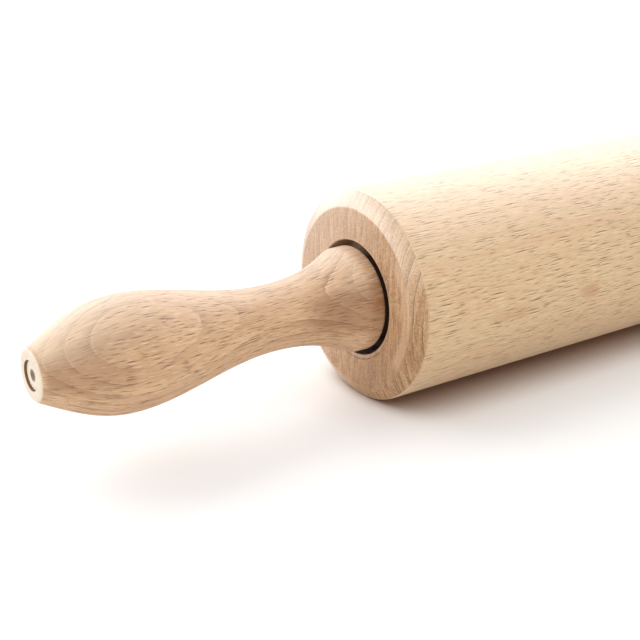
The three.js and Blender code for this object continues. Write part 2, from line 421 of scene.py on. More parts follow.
class Grain:
    """Place in a turned piece, in millimetres: the distance along the axle, then along and across growth
    rings that face a given angle, then the side and height from the axle, and the distance round it, measured
    on a circle of a given radius, and out from it. Angles are in degrees from the top, towards -Y."""

    def __init__(self, finish, ring_angle=0.0, circle=1.0, seed=0.0):
        self.finish = finish
        self.seed = seed
        spot = finish.node("ShaderNodeTexCoord", out="Object")
        centred = finish.vector("SUBTRACT", spot, (0, 0, AXIS_HEIGHT * MM))
        scaled = finish.vector("SCALE", centred, 1 / MM)
        sockets = {"Vector": scaled, "Angle": -math.radians(ring_angle)}
        turned = finish.node("ShaderNodeVectorRotate", {"rotation_type": "X_AXIS"}, sockets)
        flat = finish.node("ShaderNodeSeparateXYZ", None, {0: scaled})
        ringed = finish.node("ShaderNodeSeparateXYZ", None, {0: turned})
        self.along = ringed.output("X")
        self.across = ringed.output("Y")
        self.depth = ringed.output("Z")
        self.side, self.height = flat.output("Y"), flat.output("Z")
        self.round = finish.math("ARCTAN2", self.side, self.height) * circle
        self.radius = (self.side**2.0 + self.height**2.0) ** 0.5

    def noise(self, length, width, thickness=None, shift=0.0, detail=2.0, roughness=0.5):
        """Noise drawn out to a length along the grain, and to a width and a thickness across it."""
        along = (self.along + self.seed) / length + shift
        spot = self.finish.joined(along, self.across / width, self.depth / (thickness or width))
        return self.finish.noise(spot, detail, roughness)

    def slope(self):
        """0 where the surface runs along the axle and 1 where it is square to it."""
        return self.finish.node("ShaderNodeAttribute", {"attribute_name": "end_grain"}, None, "Fac")

    def past_face(self):
        """Distance out from the barrel's nearer end face."""
        return abs(self.along) - BARREL_END

    def from_tip(self):
        """Distance back from the nearer handle's tip."""
        return HANDLE_TIP - abs(self.along)

    def towards(self, angle):
        """Distance from the axle, measured towards an angle."""
        turn = math.radians(angle)
        return math.cos(turn) * self.height - math.sin(turn) * self.side

    def reaches(self, angle, start, full):
        """0 to 1 as the distance towards an angle goes from start to full."""
        return self.finish.smooth(self.towards(angle), start, full)

    def faces(self, angle, start, full):
        """0 to 1 as the cosine of the turn away from an angle goes from start to full."""
        return self.finish.smooth(self.towards(angle) / self.radius, start, full)


# Noises in beech: sizes in millimetres along and across the grain, and a shift that keeps them apart
BEECH_NOISES = {
    "drift": {"length": 90, "width": 20},
    "cloud": {"length": 55, "width": 6, "shift": 7.3, "detail": 3.0, "roughness": 0.6},
    "patch": {"length": 14, "width": 5, "shift": 1.7},
    "ripple": {"length": 4, "width": 1.3},
    "streak": {"length": 60, "width": 1.6, "shift": 3.1, "detail": 3.0, "roughness": 0.6},
    "fibre": {"length": 9, "width": 0.35, "detail": 3.0, "roughness": 0.7},
    "pores": {"length": 0.8, "width": 0.5, "thickness": 0.65, "roughness": 0.7},
    "lines": {"length": 8, "width": 9, "thickness": 1.0, "detail": 4.0, "roughness": 0.8},
}

# Growth rings: how far they ripple, in millimetres, and where the parts of a ring start and are full, from 0
# at one edge to 1 at the other. The last range says where in the patch noise the rings show clearly.
RING_RIPPLE = 0.45
RING_FRESH = (0.12, 0.02)
RING_LATE = (0.35, 1.0)
RING_EDGE = (0.8, 0.97)
RING_CLEAR = (0.38, 0.62)

# Ray flecks: the sway of their rows and its sizes along, round and out from the axle, the place of the
# painted highlight, a pale tick, beside each, and how deep a speck goes, all in millimetres
FLECK_SWAY = 0.8
FLECK_SWAY_SIZE = (14, 4, 6)
PAINTED_HIGHLIGHT_SHIFT = 0.4
SPECK_THICKNESS = 3

# The least half size of a fleck in its cell, what chance adds to it, and what keeps specks apart from flecks
FLECK_LEAST = 0.12
FLECK_CHANCE = 0.24
SPECK_SEED = 31.7

# Slopes of the surface, from 0 along the axle to 1 square to it: where flecks fade, and where an end's lines
# grow strong on a chamfer
FLECK_FADE = (0.43, 0.5)
CHAMFER_SLOPE = (0.99, 0.93)

# Where a noise starts to show as a tone of the sides, the specks or the ends, and where it shows in full
CLOUD_WARM = (0.4, 0.7)
STREAK_LATE = (0.5, 0.8)
FIBRE_DARK = (0.5, 0.8)
SPECK_DARK = (0.58, 0.72)
SPECK_PALE = (0.42, 0.28)
LINE_LATE = (0.44, 0.6)
LINE_PALE = (0.5, 0.34)
LINE_DARK = (0.55, 0.66)
PORE_PALE = (0.52, 0.7)
PORE_DARK = (0.46, 0.3)

# Fine relief of the beech, in millimetres
BEECH_RELIEF = 0.08


def dashes(finish, grain, seed, length, width, share):
    """Ray flecks: slim diamonds along the grain, each in a cell of the given length and width. A share of the
    cells has one. Gives its strength, from 0 to 1, and that of a painted highlight, a pale tick beside it."""
    sway_length, sway_width, sway_depth = FLECK_SWAY_SIZE
    sway_spot = (grain.along / sway_length + seed, grain.round / sway_width, grain.radius / sway_depth)
    sway = finish.noise(finish.joined(*sway_spot))
    layers = []
    # The second pass, shifted aside, is a painted highlight: a pale tick beside each fleck.
    for shift in (0.0, PAINTED_HIGHLIGHT_SHIFT):
        across = grain.round + FLECK_SWAY * (sway - 0.5) + shift
        cell = finish.joined(grain.along / length + seed, across / width, 0.0)
        settings = {"voronoi_dimensions": "2D", "feature": "F1", "distance": "MANHATTAN"}
        sockets = {"Vector": cell, "Scale": 1.0, "Randomness": 1.0}
        spot = finish.node("ShaderNodeTexVoronoi", settings, sockets)
        chance = finish.node("ShaderNodeSeparateColor", None, {0: spot.output("Color")})
        core = FLECK_LEAST + FLECK_CHANCE * chance
        kept = finish.smooth(chance.output("Green"), 1 - share, 1 - 0.4 * share)
        layers.append(finish.smooth(spot / core, 1.0, 0.4) * kept)
    return layers


def specks(finish, grain, seed, length, width):
    """Short fine flecks: a noise drawn out along the grain, cut off at its dark and its pale extremes."""
    spot = finish.joined(grain.along / length + seed, grain.round / width, grain.radius / SPECK_THICKNESS)
    texture = finish.noise(spot, 1.0)
    return finish.smooth(texture, *SPECK_DARK), finish.smooth(texture, *SPECK_PALE)


def beech(name, seed, ring_angle, circle, tones, ring_width=2.5, ring_start=0.0, ring_tilt=0.0,
          ring_wander=1.0, side_rings=0.3, end_rings=0.6, turn=(0.58, 0.75), dash=(14.0, 0.5, 0.62),
          speck=(4.6, 0.34), fleck=0.95, rough=0.5, faint=None, marks=None):
    """Beech as a solid: growth rings, ray flecks on the sides with a painted highlight beside each, fine
    lines and pores on the ends, fibres and slow changes of tone. dash holds the length, width and share of
    the flecks' cells, and speck the length and width of a speck. The sides give way to the ends between the
    slopes in turn.
    Rings on the sides fade round the place along the axle that faint gives, with its reach. marks may add a
    piece's own stains and painted light and shade."""
    finish = Finish(name)
    grain = Grain(finish, ring_angle, circle, seed)
    noise = {kind: grain.noise(**sizes) for kind, sizes in BEECH_NOISES.items()}

    wander = 2 * ring_wander * (noise["drift"] - 0.5) + RING_RIPPLE * (noise["ripple"] - 0.5)
    ring_place = (grain.depth + ring_tilt * grain.along + wander) / ring_width + ring_start
    ring = finish.math("FRACT", ring_place)
    ring_number = {"W": finish.math("FLOOR", ring_place)}
    year = finish.node("ShaderNodeTexWhiteNoise", {"noise_dimensions": "1D"}, ring_number) - 0.5
    late = 0.3 * ring + 0.7 * finish.smooth(ring, *RING_LATE)
    edge = finish.smooth(ring, *RING_EDGE)
    fresh = finish.smooth(ring, *RING_FRESH)
    clear = finish.smooth(noise["patch"], *RING_CLEAR)
    if faint:
        place, reach = faint
        away = finish.smooth(abs(abs(grain.along) - place), 0.4 * reach, reach)
        clear = clear * (0.3 + 0.7 * away)

    slope = grain.slope()
    dark = fleck * (1 - 0.35 * finish.smooth(slope, *FLECK_FADE))
    long_dash, long_dash_highlight = dashes(finish, grain, seed, *dash)
    short_dash, short_tick = specks(finish, grain, seed + SPECK_SEED, *speck)
    sides = finish.layered(tones["early"], tones, [
        (side_rings * (late + 0.4 * year) * (0.45 + 0.55 * clear), "late"),
        (0.6 * finish.smooth(noise["cloud"], *CLOUD_WARM), "warm"),
        (0.35 * finish.smooth(noise["streak"], *STREAK_LATE), "late"),
        (0.6 * side_rings * fresh * (0.3 + 0.7 * clear), "pale"),
        (0.2 * side_rings * edge * clear, "fleck"),
        (0.3 * finish.smooth(noise["fibre"], *FIBRE_DARK), "fleck"),
        # Pale specks, and the painted highlight of a pale tick beside each long fleck.
        (0.6 * short_tick + 0.6 * long_dash_highlight, "pale"),
        (0.7 * short_dash * dark, "fleck"),
        (long_dash * dark, "fleck"),
    ])

    chamfer = finish.smooth(slope, *CHAMFER_SLOPE)
    ends = finish.layered(tones["end_early"], tones, [
        (0.45 * late + 0.3 * year, "end_late"),
        (0.7 * finish.smooth(noise["lines"], *LINE_LATE), "end_late"),
        (0.35 * finish.smooth(noise["lines"], *LINE_PALE), "pale"),
        (end_rings * finish.smooth(noise["lines"], *LINE_DARK) * (0.3 + 0.3 * chamfer), "end_line"),
        (end_rings * edge * (0.25 + 0.45 * chamfer) * (0.4 + 0.6 * clear), "end_line"),
        (0.5 * end_rings * fresh * chamfer, "pale"),
        (0.4 * finish.smooth(noise["pores"], *PORE_PALE), "pale"),
        (0.45 * finish.smooth(noise["pores"], *PORE_DARK), "end_line"),
    ])

    colour = finish.mix(finish.smooth(slope + 0.25 * (noise["fibre"] - 0.5), *turn), sides, ends)
    rough = rough + 0.12 * noise["fibre"] + 0.1 * long_dash
    if marks:
        colour, rough = marks(finish, grain, colour, rough)
    height = 0.35 * noise["fibre"] + 0.15 * noise["pores"] - 0.9 * long_dash - 0.5 * short_dash
    relief = {"Strength": 0.5, "Distance": BEECH_RELIEF * MM, "Height": height}
    bump = finish.node("ShaderNodeBump", None, relief)
    return finish.surface(Base_Color=colour, Roughness=rough, Normal=bump)


BARREL_TONES = {
    "early": tint(223, 190, 149),
    "late": tint(205, 168, 126),
    "pale": tint(240, 215, 180),
    "warm": tint(221, 178, 139),
    "fleck": tint(126, 88, 52),
    "end_early": tint(207, 161, 115),
    "end_late": tint(176, 129, 86),
    "end_line": tint(108, 71, 42),
}
HANDLE_TONES = {
    "early": tint(224, 183, 143),
    "late": tint(174, 130, 93),
    "pale": tint(236, 204, 172),
    "warm": tint(200, 157, 119),
    "fleck": tint(112, 74, 44),
    "end_early": tint(246, 231, 209),
    "end_late": tint(240, 222, 197),
    "end_line": tint(217, 191, 160),
}
PLUG_TONES = {
    "early": tint(236, 218, 190),
    "late": tint(222, 198, 166),
    "pale": tint(248, 236, 218),
    "warm": tint(234, 212, 182),
    "fleck": tint(168, 130, 96),
    "end_early": tint(252, 240, 214),
    "end_late": tint(247, 232, 204),
    "end_line": tint(222, 196, 166),
}
# Colours laid over the wood. Knot, warm streak, scorch and turning line are stains, and mouth is a paler
# ring; the rest are painted light and shade: painted shade in the recess, in and round the plug's hole, in
# the centre mark, on the handles' front, low on the ends and on the rim's front; painted highlights and sheen
# on the handles' tops, the ends' upper back, the rim and round its foot; and painted bounce light on the
# barrel's underside.
STAINS_AND_PAINTED_LIGHT = {
    "recess": tint(84, 54, 40),
    "painted_plug_hole_shade": tint(96, 58, 38),
    "painted_centre_mark_shade": tint(98, 70, 60),
    "painted_handle_light": tint(249, 227, 198),
    "painted_handle_shade": tint(144, 99, 65),
    "scorch": tint(166, 102, 46),
    "painted_end_sheen": tint(255, 232, 212),
    "painted_end_shade": tint(140, 93, 50),
    "painted_rim_foot_highlight": tint(240, 204, 168),
    "painted_rim_sheen_upper_back": tint(255, 238, 216),
    "painted_rim_highlight_upper_front": tint(255, 236, 200),
    "painted_rim_highlight_lower_back": tint(252, 229, 200),
    "painted_bounce_underside": tint(255, 232, 200),
    "mouth": tint(234, 206, 176),
    "turning_line": tint(104, 70, 46),
    "knot": tint(194, 138, 98),
    "warm_streak": tint(190, 138, 94),
}

# Roughness of dull and of burnished wood
DULL = 0.95
BURNISHED = 0.4

# Where stains, painted light and painted shade face, as an angle and the cosines of the turn away from it at
# which they start and are full
RECESS_LIT = (-25, 0.72, 1.05)
HANDLE_TOP = (0, 0.2, 1.0)
SCORCH_SIDE = (50, 0.6, 0.9)
TIP_BROWN_SIDE = (72.5, 0.7, 0.97)
NECK_BROWN_SIDE = (81.4, 0.76, 0.98)
RIM_UPPER_FRONT = (37, 0.75, 1.0)
RIM_FRONT = (97, 0.8, 0.99)
RIM_LOWER_BACK = (210, 0.85, 1.0)
END_BAND_SIDE = (90, 0.72, 0.86)

# Where painted light and shade lie on the barrel's ends, as an angle and the distances towards it at which
# they start and are full, in millimetres
END_PALE = (-63.4, -6.0, 21.9)
RIM_UPPER_BACK = (-37, -2.0, 20.0)
END_BROWN = (-37, -12.0, -24.0)

# Where stains, painted light and painted shade start and are full on the handles, in millimetres out from the
# barrel's end face
TENON_PAINTED_SHADE = (0.05, -0.45)
COLLAR_PALE = (14.0, 5.0)
SCORCH_REACH = (5.5, 0.3)
NECK_BROWN_MIDDLE = 10.0
NECK_BROWN_REACH = (15.0, 5.0)

# The same in millimetres back from the tip, and what keeps them off the tip's face
TIP_PALE = (36.0, 4.0)
TIP_PALE_OFF_FACE = (0.1, 1.5)
TIP_BROWN = (21.7, 11.7)
TIP_BROWN_OFF_FACE = (0.3, 2.0)

# The same in millimetres out from the plug's hole, the axle, the chamfer's foot or the recess
PLUG_RING = (0.14, 0.02)
CENTRE_MARK = (1.9, 1.2)
RIM_BURNISH = (-0.2, 0.3)
END_BAND_MIDDLE = -1.5
END_BAND_REACH = (2.4, 0.8)
MOUTH_PALE = (0.9, 0.4)
TURNING_LINE_MIDDLE = 1.25
TURNING_LINE_REACH = (0.2, 0.08)
RECESS_PAINTED_SHADE = (0.1, 0.0)

# The same in millimetres up or sideways from the axle, and on the slope of the surface
UNDERSIDE = (-14.0, -26.0)
TURNING_LINE_LOW = (-10.0, -13.0)
FRONT_SIDE = (0.0, -8.0)
END_SLOPE = (0.7, 0.8)

# How far past the chamfer's edge the rim's painted light and shade and its burnish fade, and the sizes of
# broken stains, in millimetres, with where the noise that breaks them starts to show and shows in full
RIM_FADE = 0.5
SCORCH_LENGTH = 6
SCORCH_WIDTH = 0.8
SCORCH_STREAKS = (0.34, 0.58)
TURNING_LINE_LENGTH = 2.2
TURNING_LINE_BREAKS = (0.4, 0.5)

# Spots on the barrel's front: place along the axle and height, half length and half width, share and stain
FRONT_SPOTS = [
    {"along": -62.6, "height": -1.9, "size": (4.6, 3.2), "share": 0.5, "stain": "knot"},
    {"along": -92.5, "height": -2.6, "size": (12.0, 2.6), "share": 0.35, "stain": "warm_streak"},
]


def recess_shade(grain):
    """Share of the painted shade, a dark tone, in the recess: little at the upper back, all of it in front
    and below.
    """
    return 1 - grain.faces(*RECESS_LIT)


def handle_marks(finish, grain, colour, rough):
    """Paler on top near the tip and the collar, a painted highlight, and darker round the plug's hole and,
    dull, on the tenon, painted shade.
    """
    past_face, from_tip = grain.past_face(), grain.from_tip()
    # Painted shade on the tenon inside the recess, lightest towards the upper back.
    inside = finish.smooth(past_face, *TENON_PAINTED_SHADE) * recess_shade(grain)
    # Painted shade on the wall of the plug's hole and round its mouth.
    plug_hole_shade = finish.smooth(grain.radius - PLUG_HOLE, *PLUG_RING)
    by_tip = finish.smooth(from_tip, *TIP_PALE) * finish.smooth(from_tip, *TIP_PALE_OFF_FACE)
    by_collar = finish.smooth(past_face, *COLLAR_PALE)
    colour = finish.layered(colour, STAINS_AND_PAINTED_LIGHT, [
        # Painted highlight: paler on top near the tip and the collar.
        ((0.4 * by_tip + 0.3 * by_collar) * grain.faces(*HANDLE_TOP), "painted_handle_light"),
        (0.8 * plug_hole_shade, "painted_plug_hole_shade"),
        (inside, "recess"),
    ])
    return colour, blend(rough, DULL, inside)


def left_handle_marks(finish, grain, colour, rough):
    """Scorched streaks along the collar's edge, on the upper front, and painted shade, brown, in front by the
    tip and by the collar, under the marks of both handles."""
    past_face, from_tip = grain.past_face(), grain.from_tip()
    streaks = finish.noise(finish.joined(grain.along / SCORCH_LENGTH, grain.round / SCORCH_WIDTH, 0.0))
    scorch = finish.smooth(past_face, *SCORCH_REACH) * grain.faces(*SCORCH_SIDE)
    by_tip = finish.smooth(from_tip, *TIP_BROWN) * finish.smooth(from_tip, *TIP_BROWN_OFF_FACE)
    by_neck = finish.smooth(abs(past_face - NECK_BROWN_MIDDLE), *NECK_BROWN_REACH)
    # Painted shade: browner in front by the tip and by the collar.
    brown = 0.47 * by_tip * grain.faces(*TIP_BROWN_SIDE) + 0.6 * by_neck * grain.faces(*NECK_BROWN_SIDE)
    colour = finish.layered(colour, STAINS_AND_PAINTED_LIGHT, [
        (0.9 * scorch * finish.smooth(streaks, *SCORCH_STREAKS), "scorch"),
        (brown, "painted_handle_shade"),
    ])
    return handle_marks(finish, grain, colour, rough)


def barrel_marks(finish, grain, colour, rough):
    """Ends that are paler towards the upper back, a painted sheen, and brown low down, painted shade; a
    burnished rim with painted highlights and painted shade, and a painted highlight in a band inside it; a
    pale mouth and a broken turning line round each recess, painted shade, dark and dull, inside it; a paler
    underside, painted bounce light; and a small knot and a warm streak on the front."""
    on_end = finish.smooth(grain.slope(), *END_SLOPE)
    on_rim = finish.smooth(grain.past_face(), -RIM_CHAMFER_AXIAL - RIM_FADE, -RIM_CHAMFER_AXIAL)
    on_rim = on_rim * finish.smooth(grain.radius - RIM_FOOT, *RIM_BURNISH)
    # Painted highlight: a pale band round the foot of the rim, on the end, towards the front.
    band = finish.smooth(abs(grain.radius - RIM_FOOT - END_BAND_MIDDLE), *END_BAND_REACH)
    band = band * grain.faces(*END_BAND_SIDE) * (1 - on_rim)
    # Painted bounce light: paler low on the side.
    painted_bounce_underside = finish.smooth(grain.height, *UNDERSIDE) * (1 - on_end)

    from_recess = grain.radius - RECESS_RADIUS
    breaks = finish.noise(finish.joined(grain.round / TURNING_LINE_LENGTH, 0.0, 0.0))
    line = finish.smooth(abs(from_recess - TURNING_LINE_MIDDLE), *TURNING_LINE_REACH)
    line = line * finish.smooth(grain.height, *TURNING_LINE_LOW) * finish.smooth(breaks, *TURNING_LINE_BREAKS)
    # Painted shade, dark and dull, inside the recess, lightest towards the upper back.
    inside = finish.smooth(from_recess, *RECESS_PAINTED_SHADE) * recess_shade(grain)
    colour = finish.layered(colour, STAINS_AND_PAINTED_LIGHT, [
        # Painted sheen towards the upper back of the ends and the rim; painted shade, browner, low on the
        # ends and on the rim's front; painted highlights on the rim's upper front and lower back.
        (0.25 * on_end * grain.reaches(*END_PALE), "painted_end_sheen"),
        (0.15 * on_rim * grain.reaches(*RIM_UPPER_BACK), "painted_rim_sheen_upper_back"),
        ((0.4 - 0.25 * on_rim) * on_end * grain.reaches(*END_BROWN), "painted_end_shade"),
        (0.2 * on_rim * grain.faces(*RIM_UPPER_FRONT), "painted_rim_highlight_upper_front"),
        (0.2 * on_rim * grain.faces(*RIM_FRONT), "painted_end_shade"),
        (0.36 * on_rim * grain.faces(*RIM_LOWER_BACK), "painted_rim_highlight_lower_back"),
        (0.38 * on_end * band, "painted_rim_foot_highlight"),
        (0.25 * painted_bounce_underside, "painted_bounce_underside"),
        (0.35 * finish.smooth(from_recess, *MOUTH_PALE), "mouth"),
        (0.9 * on_end * line, "turning_line"),
        (inside, "recess"),
    ])
    in_front = finish.smooth(grain.side, *FRONT_SIDE)
    for spot in FRONT_SPOTS:
        half_length, half_width = spot["size"]
        out_along = (grain.along - spot["along"]) / half_length
        out_across = (grain.height - spot["height"]) / half_width
        near = finish.smooth(out_along**2.0 + out_across**2.0, 1.0, 0.0)
        colour = finish.mix(spot["share"] * in_front * near, colour, STAINS_AND_PAINTED_LIGHT[spot["stain"]])
    return colour, blend(blend(rough, BURNISHED, on_rim), DULL, inside)


def plug_marks(finish, grain, colour, rough):
    """Dark dull centre mark: painted shade in and round its hollow."""
    centre = finish.smooth(grain.radius, *CENTRE_MARK)
    return finish.mix(0.85 * centre, colour, STAINS_AND_PAINTED_LIGHT["painted_centre_mark_shade"]), blend(rough, DULL, centre)


# Metal: the length of a line along the axle, the size of a patch and the depth of the relief, in millimetres,
# and how much of its colour is left in the darkest lines
METAL_LINE = 6
METAL_PATCH = 5
METAL_RELIEF = 0.01
METAL_DARKER = 0.72


def metal(name, colour, roughness, scratch, along_axle=False):
    """Turned or ground metal: lines as fine as scratch, in millimetres, run round the axle, or along it, and
    vary its roughness and tone."""
    finish = Finish(name)
    grain = Grain(finish)
    if along_axle:
        lines = finish.joined(grain.along / METAL_LINE, grain.side / scratch, grain.height / scratch)
    else:
        lines = finish.joined(grain.along / scratch, grain.radius / scratch, 0.0)
    streak = finish.noise(lines, 3.0, 0.6)
    spot = finish.joined(grain.along / METAL_PATCH, grain.side / METAL_PATCH, grain.height / METAL_PATCH)
    patch = finish.noise(spot)
    darker = tuple(METAL_DARKER * channel for channel in colour[:3]) + (1.0,)
    tone = finish.mix(0.45 * streak + 0.3 * patch, colour, darker)
    rough = roughness + 0.15 * (streak - 0.5)
    relief = {"Strength": 0.25, "Distance": METAL_RELIEF * MM, "Height": streak}
    bump = finish.node("ShaderNodeBump", None, relief)
    return finish.surface(Base_Color=tone, Metallic=1.0, Roughness=rough, Normal=bump)


HANDLE_BEECH = {
    "circle": 12.0,
    "tones": HANDLE_TONES,
    "side_rings": 0.7,
    "end_rings": 0.15,
    "turn": (0.47, 0.9),
    "dash": (9.0, 0.5, 0.52),
    "speck": (4.0, 0.38),
    "rough": 0.6,
    "faint": (172.0, 26.0),
}
handle_finishes = {
    "left": beech("left_handle_beech", seed=900.0, ring_angle=50.0, ring_width=2.6, ring_start=0.277,
                  ring_tilt=-0.0118, ring_wander=0.3, marks=left_handle_marks, **HANDLE_BEECH),
    "right": beech("right_handle_beech", seed=1500.0, ring_angle=75.0, ring_width=2.8, ring_tilt=-0.015,
                   marks=handle_marks, **HANDLE_BEECH),
}
finishes = {
    "barrel_beech": beech("barrel_beech", seed=400.0, ring_angle=90.0, circle=30.0, tones=BARREL_TONES,
                          ring_start=0.496, ring_wander=0.5, side_rings=0.25, end_rings=0.9,
                          marks=barrel_marks),
    "plug_beech": beech("plug_beech", seed=2100.0, ring_angle=20.0, circle=4.0, tones=PLUG_TONES,
                        ring_width=1.8, end_rings=0.1, fleck=0.4, marks=plug_marks),
    "axle_steel": metal("axle_steel", tint(186, 187, 190), roughness=0.34, scratch=0.12, along_axle=True),
    "race_steel": metal("race_steel", tint(198, 200, 203), roughness=0.22, scratch=0.08),
    "shield_steel": metal("shield_steel", tint(176, 178, 181), roughness=0.38, scratch=0.15),
    "ball_steel": metal("ball_steel", tint(210, 212, 214), roughness=0.1, scratch=0.3),
    "cage_brass": metal("cage_brass", tint(184, 148, 82), roughness=0.36, scratch=0.12),
}


def barrel_outline():
    """Rim with a crowned chamfer, end face, recess with a bevelled mouth, bearing seat, relief and bore."""
    end, side = BARREL_END, BARREL_RADIUS
    chamfer_width = math.hypot(RIM_CHAMFER_RADIAL, RIM_CHAMFER_AXIAL)
    share = np.linspace(0, 1, CHAMFER_POINTS)[1:-1, None]
    crown = 4 * share * (1 - share) * RIM_CROWN
    outward = np.array([RIM_CHAMFER_RADIAL, RIM_CHAMFER_AXIAL]) / chamfer_width
    upper = np.array([end - RIM_CHAMFER_AXIAL, side])
    lower = np.array([end, RIM_FOOT])
    chamfer = upper + (lower - upper) * share + outward * crown
    half = softened([
        (0, side, 0),
        (*upper, RIM_EDGE),
        *[(*point, 0) for point in chamfer],
        (*lower, RIM_EDGE),
        (end, RECESS_RADIUS + RECESS_BEVEL, RECESS_EDGE),
        (end - RECESS_BEVEL, RECESS_RADIUS, RECESS_EDGE),
        (end - RECESS_DEPTH, RECESS_RADIUS, RECESS_CORNER),
        (end - RECESS_DEPTH, SEAT_RADIUS, SEAT_EDGE),
        (end - SEAT_DEPTH, SEAT_RADIUS, SEAT_EDGE),
        (end - SEAT_DEPTH, RELIEF_RADIUS, SEAT_EDGE),
        (end - SEAT_DEPTH - RELIEF_DEPTH, RELIEF_RADIUS, SEAT_EDGE),
        (end - SEAT_DEPTH - RELIEF_DEPTH, BORE_RADIUS, SEAT_EDGE),
        (0, BORE_RADIUS, 0),
    ])
    return np.concatenate([mirrored(half), half])


def handle_outline():
    """Tenon and collar, then flare, neck, bulge and rounded tip as smooth stretches, plug's hole and bore."""
    face, tip = BARREL_END, HANDLE_TIP
    neck = (face + NECK_FROM_FACE, NECK_RADIUS)
    bulge = (tip - BULGE_FROM_TIP, BULGE_RADIUS)
    flare = (face + FLARE_FROM_FACE, FLARE_RADIUS)
    flank_angle = math.pi / 2 - math.atan(TIP_FLANK_SLOPE)
    tip_edge = arc((tip - TIP_ROUNDING, TIP_FACE_RADIUS), TIP_ROUNDING, flank_angle, 0, TIP_POINTS)
    flank_end = tip_edge[0]
    flare_run, neck_run, tip_run = neck[0] - flare[0], bulge[0] - neck[0], flank_end[0] - bulge[0]

    collar_end = face - COLLAR_REACH
    foot = softened([
        (HANDLE_FOOT, HANDLE_BORE, 0),
        (HANDLE_FOOT, TENON_RADIUS - TENON_CHAMFER, TENON_EDGE),
        (HANDLE_FOOT + TENON_CHAMFER, TENON_RADIUS, TENON_EDGE),
        (collar_end, TENON_RADIUS, COLLAR_CORNER),
        (collar_end, COLLAR_RADIUS - COLLAR_CHAMFER, COLLAR_EDGE),
        (collar_end + COLLAR_CHAMFER, COLLAR_RADIUS, COLLAR_EDGE),
        (*flare, 0),
    ])[:-1]
    flare_pull = flare_run * FLARE_EASE * np.array([1, -FLARE_SLOPE])
    tip_pull = tip_run * TIP_EASE * np.array([1, -TIP_FLANK_SLOPE])
    to_neck = bend(flare, flare_pull, (flare_run * NECK_EASE_TO_FLARE, 0), neck)
    to_bulge = bend(neck, (neck_run * NECK_EASE_TO_BULGE, 0), (neck_run * BULGE_EASE_TO_NECK, 0), bulge)
    to_tip = bend(bulge, (tip_run * BULGE_EASE_TO_TIP, 0), tip_pull, flank_end)
    bore_end = AXLE_END + BORE_PAST_AXLE
    inside = softened([
        (tip, TIP_FACE_RADIUS, 0),
        (tip, PLUG_HOLE, PLUG_HOLE_EDGE),
        (bore_end, PLUG_HOLE, 0),
        (bore_end, HANDLE_BORE, 0),
        (HANDLE_FOOT, HANDLE_BORE, 0),
    ])[1:-1]
    return np.concatenate([foot, to_neck, to_bulge[1:], to_tip[1:], tip_edge[1:], inside])


def plug_outline():
    """Short rod with eased edges and a turned centre mark in its outer face."""
    back, front = plug_low[0], plug_high[0]
    return softened([
        (back, 0, 0),
        (back, PLUG_RADIUS, PLUG_EDGE),
        (front, PLUG_RADIUS, PLUG_EDGE),
        (front, CENTRE_MARK_RADIUS, CENTRE_MARK_EDGE),
        (front - CENTRE_MARK_DEPTH, 0, 0),
    ])


def axle_outline():
    """Rod with a thicker middle between the bearings and chamfered ends."""
    shoulder = BEARING_MIDDLE - BEARING_HALF - SHOULDER_CLEARANCE
    half = softened([
        (0, SHOULDER_RADIUS, 0),
        (shoulder, SHOULDER_RADIUS, SHOULDER_EDGE),
        (shoulder, JOURNAL_RADIUS, JOURNAL_CORNER),
        (AXLE_END - AXLE_CHAMFER, JOURNAL_RADIUS, AXLE_EDGE),
        (AXLE_END, JOURNAL_RADIUS - AXLE_CHAMFER, AXLE_EDGE),
        (AXLE_END, 0, 0),
    ])[1:]
    return np.concatenate([mirrored(half), half])


def spacer_outline():
    """Flat ring between the tenon and the bearing, with eased edges."""
    inner, outer = spacer_low[0], spacer_high[0]
    return softened([
        (inner, HANDLE_BORE, SPACER_EDGE),
        (inner, SPACER_RADIUS, SPACER_EDGE),
        (outer, SPACER_RADIUS, SPACER_EDGE),
        (outer, HANDLE_BORE, SPACER_EDGE),
    ])


def groove(sign):
    """Ball groove in a race: outer for sign 1 and inner for sign -1, walked as the race's outline needs."""
    land = (OUTER_LAND if sign > 0 else INNER_LAND) - PITCH_RADIUS
    half_angle = math.acos(abs(land) / GROOVE_RADIUS)
    middle = sign * math.pi / 2
    centre = (BEARING_MIDDLE, PITCH_RADIUS)
    return arc(centre, GROOVE_RADIUS, middle - half_angle, middle + half_angle, GROOVE_POINTS)


def outer_race_outline():
    """Ring with chamfered outer edges, a step on each side for a shield, and the ball groove between them."""
    low, high = BEARING_MIDDLE - BEARING_HALF, BEARING_MIDDLE + BEARING_HALF
    step = SHIELD_INSET + SHIELD_THICKNESS + SHIELD_CLEARANCE
    return np.concatenate([
        softened([
            (low, SHIELD_SEAT, BEARING_EDGE),
            (low, RACE_RADIUS, RACE_CHAMFER),
            (high, RACE_RADIUS, RACE_CHAMFER),
            (high, SHIELD_SEAT, BEARING_EDGE),
            (high - step, SHIELD_SEAT, BEARING_EDGE),
            (high - step, OUTER_LAND, BEARING_EDGE),
        ]),
        groove(1),
        [(low + step, OUTER_LAND), (low + step, SHIELD_SEAT)],
    ])


def inner_race_outline():
    """Plain ring with the ball groove outside."""
    low, high = BEARING_MIDDLE - BEARING_HALF, BEARING_MIDDLE + BEARING_HALF
    return np.concatenate([
        [(low, HANDLE_BORE), (low, INNER_LAND)],
        groove(-1),
        [(high, INNER_LAND), (high, HANDLE_BORE)],
    ])


